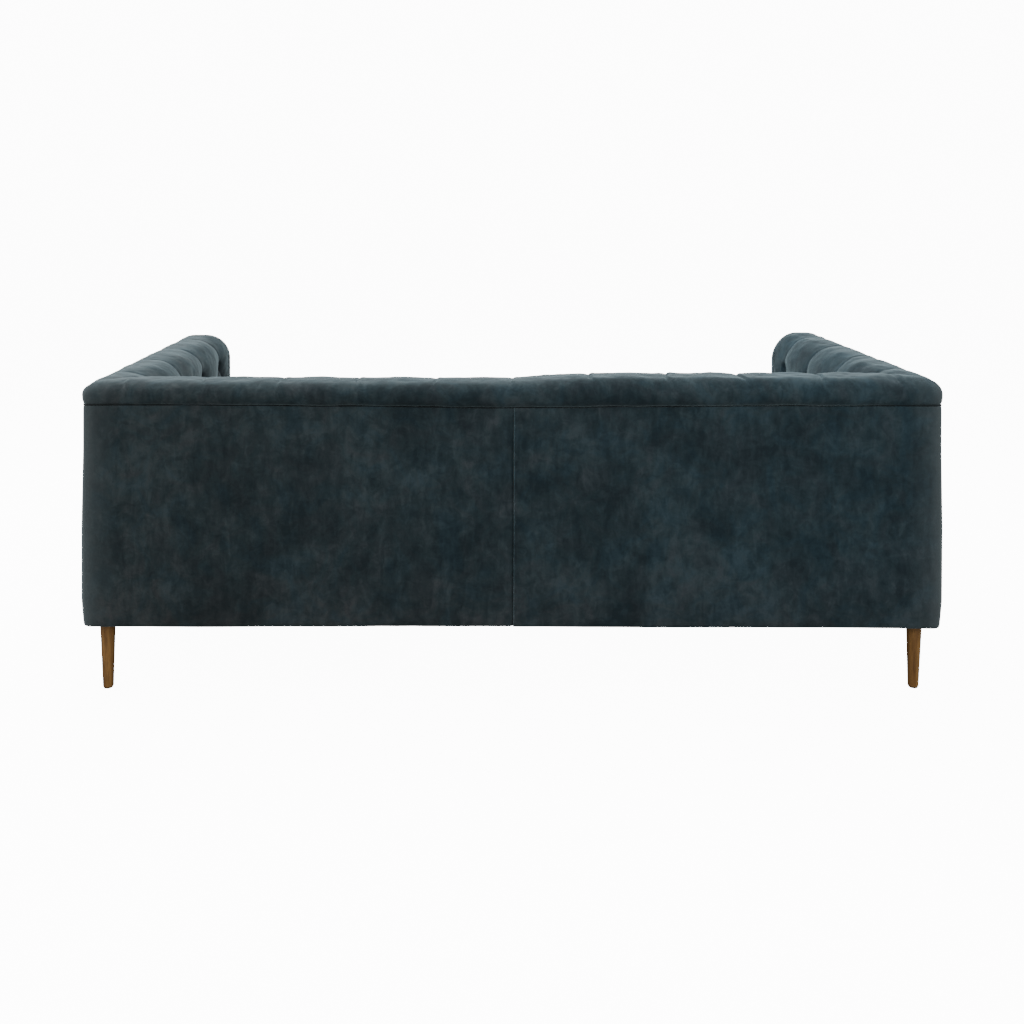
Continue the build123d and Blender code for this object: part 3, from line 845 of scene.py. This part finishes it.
class Nodes:
    """A short way to write a node material."""

    def __init__(self, name):
        self.material = bpy.data.materials.new(name)
        self.material.use_nodes = True
        self.tree = self.material.node_tree
        self.shader = self.tree.nodes["Principled BSDF"]
        self.place = self.add("ShaderNodeTexCoord").outputs["Object"]

    def add(self, kind, **settings):
        node = self.tree.nodes.new(kind)
        for key, value in settings.items():
            setattr(node, key, value)
        return node

    def link(self, start, end):
        self.tree.links.new(start, end)

    def stretched(self, scale):
        mapping = self.add("ShaderNodeMapping")
        mapping.inputs["Scale"].default_value = scale
        self.link(self.place, mapping.inputs["Vector"])
        return mapping.outputs["Vector"]

    def noise(self, vector, scale, detail=3.0, roughness=0.5, distortion=0.0):
        node = self.add("ShaderNodeTexNoise")
        node.inputs["Scale"].default_value = scale
        node.inputs["Detail"].default_value = detail
        node.inputs["Roughness"].default_value = roughness
        node.inputs["Distortion"].default_value = distortion
        self.link(vector, node.inputs["Vector"])
        return node.outputs["Fac"]

    def patches(self, scale, wander, wander_scale):
        """Irregular patches with fairly crisp edges, each with its own random level."""
        warp = self.add("ShaderNodeTexNoise")
        warp.inputs["Scale"].default_value = wander_scale
        warp.inputs["Detail"].default_value = 5.0
        self.link(self.place, warp.inputs["Vector"])
        push = self.add("ShaderNodeVectorMath", operation="MULTIPLY_ADD")
        self.link(warp.outputs["Color"], push.inputs[0])
        push.inputs[1].default_value = (wander * 2.5,) * 3
        self.link(self.place, push.inputs[2])
        cells = self.add("ShaderNodeTexVoronoi")
        cells.inputs["Scale"].default_value = scale
        self.link(push.outputs[0], cells.inputs["Vector"])
        parts = self.add("ShaderNodeSeparateColor")
        self.link(cells.outputs["Color"], parts.inputs[0])
        return parts.outputs[0]

    def weigh(self, *terms):
        """A weighted sum of values."""
        total = None
        for value, weight in terms:
            node = self.add("ShaderNodeMath", operation="MULTIPLY_ADD")
            self.link(value, node.inputs[0])
            node.inputs[1].default_value = weight
            node.inputs[2].default_value = 0.0
            if total is not None:
                self.link(total, node.inputs[2])
            total = node.outputs[0]
        return total

    def along(self, axis, start, end):
        """0 to 1 along one axis of the object."""
        split = self.add("ShaderNodeSeparateXYZ")
        self.link(self.place, split.inputs[0])
        spread = self.add("ShaderNodeMapRange")
        self.link(split.outputs[axis], spread.inputs["Value"])
        spread.inputs["From Min"].default_value = start
        spread.inputs["From Max"].default_value = end
        return spread.outputs[0]

    def corner_distance(self):
        """0 on the sofa's vertical edges, reaching 1 at PAINTED_SHEEN_REACH away from them."""
        plan = self.add("ShaderNodeVectorMath", operation="ABSOLUTE")
        self.link(self.place, plan.inputs[0])
        flat = self.add("ShaderNodeVectorMath", operation="MULTIPLY")
        self.link(plan.outputs[0], flat.inputs[0])
        flat.inputs[1].default_value = (1, 1, 0)
        gap = self.add("ShaderNodeVectorMath", operation="DISTANCE")
        self.link(flat.outputs[0], gap.inputs[0])
        gap.inputs[1].default_value = (HALF_WIDTH, REAR, 0)
        reach = self.add("ShaderNodeMath", operation="DIVIDE", use_clamp=True)
        self.link(gap.outputs["Value"], reach.inputs[0])
        reach.inputs[1].default_value = PAINTED_SHEEN_REACH
        return reach.outputs[0]

    def ramp(self, value, *stops):
        node = self.add("ShaderNodeValToRGB")
        elements = node.color_ramp.elements
        while len(elements) < len(stops):
            elements.new(0.5)
        for element, (position, colour) in zip(elements, stops):
            element.position = position
            element.color = (*colour, 1)
        self.link(value, node.inputs["Fac"])
        return node.outputs["Color"]

    def mix(self, factor, a, b, blend="MIX"):
        node = self.add("ShaderNodeMix", data_type="RGBA", blend_type=blend)
        for socket, value in ((node.inputs[0], factor), (node.inputs[6], a), (node.inputs[7], b)):
            if hasattr(value, "node"):
                self.link(value, socket)
            elif isinstance(value, tuple):
                socket.default_value = (*value, 1)
            else:
                socket.default_value = value
        return node.outputs[2]

    def bump(self, height, strength, distance, below=None):
        node = self.add("ShaderNodeBump")
        node.inputs["Strength"].default_value = strength
        node.inputs["Distance"].default_value = distance
        self.link(height, node.inputs["Height"])
        if below is not None:
            self.link(below, node.inputs["Normal"])
        return node.outputs["Normal"]

    def finish(self, colour=None, normal=None, roughness=None, **values):
        if colour is not None:
            self.link(colour, self.shader.inputs["Base Color"])
        if normal is not None:
            self.link(normal, self.shader.inputs["Normal"])
        if roughness is not None:
            self.link(roughness, self.shader.inputs["Roughness"])
        for key, value in values.items():
            self.shader.inputs[key.replace("_", " ")].default_value = value
        return self.material


def velvet_material(name, tone=1.0):
    """Short cotton velvet: patches where the nap lies differently, with a cool sheen."""
    nodes = Nodes(name)
    cloudy = nodes.noise(nodes.place, 8.0, 6.0, 0.60, 0.5)
    patches = nodes.patches(34.0, 0.055, 11.0)
    flecks = nodes.noise(nodes.place, 30.0, 5.0, 0.62, 1.1)
    brushed = nodes.noise(nodes.stretched((3.2, 3.2, 1.0)), 18.0, 4.0, 0.6, 0.5)
    level = nodes.weigh((cloudy, 0.44), (patches, 0.035), (flecks, 0.275), (brushed, 0.25))
    deep = tuple(c * tone for c in (0.0085, 0.0150, 0.0180))
    middle = tuple(c * tone for c in (0.0160, 0.0255, 0.0290))
    pale = tuple(c * tone for c in (0.0285, 0.0400, 0.0440))
    base = nodes.ramp(level, (0.40, deep), (0.50, middle), (0.60, pale))
    hue = nodes.noise(nodes.place, 12.0, 5.0, 0.65, 0.8)
    tint = nodes.ramp(hue, (0.38, (1.13, 0.98, 0.98)), (0.50, (1.0, 1.0, 1.0)),
                      (0.62, (0.90, 1.02, 1.09)))
    base = nodes.mix(1.0, base, tint, "MULTIPLY")
    batch = nodes.ramp(nodes.along("X", -1.0, 1.0), (0.1, (1.02, 1.18, 1.27)),
                       (0.9, (1.08, 1.04, 1.03)))
    base = nodes.mix(1.0, base, batch, "MULTIPLY")
    # Painted light: warmer and paler towards the bottom, standing in for warm light bounced up from
    # the floor
    painted_floor_bounce = nodes.ramp(nodes.along("Z", 0.17, 0.33), (0.0, (1.16, 1.00, 0.97)),
                      (1.0, (1.0, 1.0, 1.0)))
    base = nodes.mix(1.0, base, painted_floor_bounce, "MULTIPLY")
    # Painted sheen: near the vertical edges the base colour is blended towards a pale tone,
    # standing in for the sheen grazing light gives there
    painted_light = nodes.ramp(nodes.corner_distance(), (0.0, (1.0, 1.0, 1.0)),
                         (0.15, (0.60, 0.60, 0.60)), (0.40, (0.22, 0.22, 0.22)),
                         (1.0, (0.0, 0.0, 0.0)))
    base = nodes.mix(painted_light, base, tuple(c * tone for c in (0.078, 0.094, 0.099)))
    fibre = nodes.noise(nodes.place, 1500.0, 2.0, 0.6)
    nap = nodes.noise(nodes.place, 60.0, 4.0, 0.6, 0.6)
    normal = nodes.bump(nap, 0.12, 0.0020)
    normal = nodes.bump(fibre, 0.25, 0.0004, normal)
    material = nodes.finish(base, normal, Roughness=0.85, Sheen_Weight=0.35, Sheen_Roughness=0.38,
                            Specular_IOR_Level=0.15)
    nodes.shader.inputs["Sheen Tint"].default_value = (0.62, 0.80, 0.86, 1)
    return material


def wood_material(name, dark, light, roughness, grain=1.0):
    """Straight-grained timber, with its grain along Z."""
    nodes = Nodes(name)
    vector = nodes.stretched((grain, grain, 0.06))
    wide = nodes.noise(vector, 55.0, 5.0, 0.6, 1.2)
    fine = nodes.noise(vector, 420.0, 3.0, 0.6, 0.4)
    middle = tuple((a + b) / 2 for a, b in zip(dark, light))
    colour = nodes.ramp(wide, (0.36, dark), (0.50, middle), (0.64, light))
    pores = nodes.ramp(fine, (0.38, (0.55, 0.50, 0.45)), (0.52, (1.0, 1.0, 1.0)))
    colour = nodes.mix(0.55, colour, pores, "MULTIPLY")
    normal = nodes.bump(fine, 0.25, 0.0005)
    return nodes.finish(colour, normal, Roughness=roughness)


def weave_material(name, colour, scale, roughness=0.9):
    """Plain woven or spun cloth."""
    nodes = Nodes(name)
    wave = nodes.add("ShaderNodeTexChecker")
    wave.inputs["Scale"].default_value = scale
    nodes.link(nodes.place, wave.inputs["Vector"])
    soft = nodes.noise(nodes.place, 90.0, 3.0)
    pale = tuple(c * 1.5 for c in colour)
    base = nodes.ramp(soft, (0.35, colour), (0.7, pale))
    normal = nodes.bump(wave.outputs["Fac"], 0.3, 0.0005)
    return nodes.finish(base, normal, Roughness=roughness)


def metal_material(name):
    """Zinc-plated steel."""
    nodes = Nodes(name)
    spangle = nodes.noise(nodes.place, 260.0, 3.0)
    colour = nodes.ramp(spangle, (0.35, (0.52, 0.53, 0.54)), (0.65, (0.68, 0.69, 0.70)))
    return nodes.finish(colour, Metallic=1.0, Roughness=0.36)


def plastic_material(name, colour, roughness):
    """Moulded plastic with a fine grain."""
    nodes = Nodes(name)
    grain = nodes.noise(nodes.place, 900.0, 2.0)
    pale = tuple(c * 1.4 for c in colour)
    base = nodes.ramp(grain, (0.4, colour), (0.6, pale))
    return nodes.finish(base, nodes.bump(grain, 0.2, 0.0003), Roughness=roughness)


def paint_cad_nodes(materials):
    """Gives each CAD node that stays in view the material of its slot."""
    for entry in frame["record"]["subparts"]:
        node = frame["nodes"][entry["node"]]
        material = materials[entry["material_slot"]]
        node.data.materials.clear()
        node.data.materials.append(material)


# ---------------------------------------------------------------- studio

# Place, target, width and height, power
LIGHTS = {
    "top_light": ((0.2, -0.55, 3.0), (0, -0.1, 0.5), (3.2, 2.2), 107.0),
    "left_light": ((3.4, 1.2, 2.2), (0.6, 0.2, 0.5), (1.6, 1.6), 35.0),
    "right_light": ((-3.4, 1.6, 2.2), (-0.6, 0.2, 0.5), (1.8, 1.8), 38.0),
    "left_rim": ((3.4, -0.9, 1.5), (0.9, 0.3, 0.5), (1.0, 1.6), 40.0),
    "right_rim": ((-3.4, -0.9, 1.5), (-0.9, 0.3, 0.5), (1.0, 1.6), 13.0),
    "back_fill": ((0.0, 4.6, 2.4), (0, 0.4, 0.4), (3.0, 1.8), 132.0),
}
FLOOR_SIZE = 60.0
FLOOR_GLOW = 12.0
WORLD_LIGHT = 0.35
WORLD_SEEN = 15.5

CAMERA_PLACE = (0.1156, 2.8857, 1.2128)
CAMERA_YAW = math.radians(0.33)
CAMERA_PITCH = math.radians(1.76)
CAMERA_ROLL = math.radians(0.14)
CAMERA_LENS = 35.70
CAMERA_SHIFT = (0.0388, -0.273)


def camera_only(nodes, tree, seen, unseen):
    """A mix that shows one shader to the camera and lights the scene with another."""
    path = nodes.new("ShaderNodeLightPath")
    mix = nodes.new("ShaderNodeMixShader")
    tree.links.new(path.outputs["Is Camera Ray"], mix.inputs[0])
    tree.links.new(unseen, mix.inputs[1])
    tree.links.new(seen, mix.inputs[2])
    return mix.outputs[0]


def build_studio():
    """Pale floor, near-white surroundings and soft lights."""
    size = FLOOR_SIZE
    mesh = bpy.data.meshes.new("floor")
    corners = [(-size, -size, 0), (size, -size, 0), (size, size, 0), (-size, size, 0)]
    mesh.from_pydata(corners, [], [(0, 1, 2, 3)])
    floor = bpy.data.objects.new("floor", mesh)
    bpy.context.scene.collection.objects.link(floor)
    material = bpy.data.materials.new("floor")
    material.use_nodes = True
    tree = material.node_tree
    paint = tree.nodes["Principled BSDF"]
    paint.inputs["Base Color"].default_value = (0.80, 0.80, 0.80, 1)
    paint.inputs["Roughness"].default_value = 0.9
    glow = tree.nodes.new("ShaderNodeEmission")
    glow.inputs["Strength"].default_value = FLOOR_GLOW
    both = tree.nodes.new("ShaderNodeAddShader")
    tree.links.new(paint.outputs[0], both.inputs[0])
    tree.links.new(glow.outputs[0], both.inputs[1])
    dim = tree.nodes.new("ShaderNodeBsdfDiffuse")
    dim.inputs["Color"].default_value = (0.22, 0.21, 0.20, 1)
    shown = camera_only(tree.nodes, tree, both.outputs[0], dim.outputs[0])
    tree.links.new(shown, tree.nodes["Material Output"].inputs["Surface"])
    mesh.materials.append(material)

    world = bpy.data.worlds.new("studio")
    bpy.context.scene.world = world
    world.use_nodes = True
    tree = world.node_tree
    soft = tree.nodes["Background"]
    soft.inputs["Color"].default_value = (1.0, 1.0, 1.0, 1)
    soft.inputs["Strength"].default_value = WORLD_LIGHT
    white = tree.nodes.new("ShaderNodeBackground")
    white.inputs["Strength"].default_value = WORLD_SEEN
    shown = camera_only(tree.nodes, tree, white.outputs[0], soft.outputs[0])
    tree.links.new(shown, tree.nodes["World Output"].inputs["Surface"])

    for name, (place, target, size, power) in LIGHTS.items():
        add_light(name, place, target, *size, power)


def add_light(name, place, target, width, height, power):
    """A soft rectangular light."""
    light = bpy.data.lights.new(name, "AREA")
    light.shape = "RECTANGLE"
    light.size = width
    light.size_y = height
    light.energy = power
    lamp = bpy.data.objects.new(name, light)
    lamp.location = place
    lamp.rotation_euler = (Vector(target) - Vector(place)).to_track_quat("-Z", "Y").to_euler()
    bpy.context.scene.collection.objects.link(lamp)


def build_camera():
    """Behind the sofa, a little to one side and above it, with the film shifted down."""
    data = bpy.data.cameras.new("camera")
    data.sensor_width = 36.0
    data.lens = CAMERA_LENS
    data.shift_x, data.shift_y = CAMERA_SHIFT
    camera = bpy.data.objects.new("camera", data)
    camera.location = CAMERA_PLACE
    direction = Vector((-math.sin(CAMERA_YAW) * math.cos(CAMERA_PITCH),
                        -math.cos(CAMERA_YAW) * math.cos(CAMERA_PITCH), -math.sin(CAMERA_PITCH)))
    turn = direction.to_track_quat("-Z", "Y") @ Quaternion((0, 0, 1), CAMERA_ROLL)
    camera.rotation_euler = turn.to_euler()
    bpy.context.scene.collection.objects.link(camera)
    bpy.context.scene.camera = camera


def main():
    velvet = velvet_material("velvet")
    piping = velvet_material("velvet_piping", 0.9)
    # Painted shade: a darkened velvet for the long seam's welt, standing in for the shadow in the
    # seam
    painted_light = velvet_material("velvet_seam_painted_shade", 0.25)
    # Painted highlight: a paler velvet for the middle seam's edge
    painted_highlight = velvet_material("velvet_painted_highlight", 2.0)
    lining = weave_material("deck_lining", (0.012, 0.014, 0.017), 900.0)
    nylon = plastic_material("zip_nylon", (0.018, 0.024, 0.027), 0.4)
    tape = weave_material("zip_tape", (0.0065, 0.0095, 0.0110), 1400.0)
    paint_cad_nodes({
        "velvet": velvet,
        "velvet_buttons": velvet_material("velvet_buttons", 0.95),
        "deck_lining": lining,
        "leg_wood": wood_material("leg_wood", (0.124, 0.057, 0.0145), (0.266, 0.139, 0.040),
                                  0.42),
        "frame_timber": wood_material("frame_timber", (0.42, 0.27, 0.13), (0.62, 0.45, 0.26),
                                      0.75),
        "fibreboard": wood_material("fibreboard", (0.20, 0.12, 0.06), (0.30, 0.19, 0.10), 0.85,
                                    0.3),
        "foam": weave_material("foam", (0.60, 0.55, 0.40), 300.0, 0.95),
        "webbing": weave_material("webbing", (0.010, 0.010, 0.011), 500.0),
        "lining": weave_material("dust_lining", (0.012, 0.012, 0.013), 700.0),
        "zinc_steel": metal_material("zinc_steel"),
        "glide_plastic": plastic_material("glide_plastic", (0.02, 0.02, 0.02), 0.6),
        "zip_nylon": nylon,
    })
    build_inner_covers(velvet)
    build_outside(velvet, painted_light, painted_highlight)
    build_arm_fronts(velvet)
    build_front_border(velvet)
    build_deck(lining)
    for side, sign in SIDES.items():
        build_cushion(side, sign, velvet, piping)
        build_zip(side, sign, nylon, tape)
    build_studio()
    build_camera()


main()
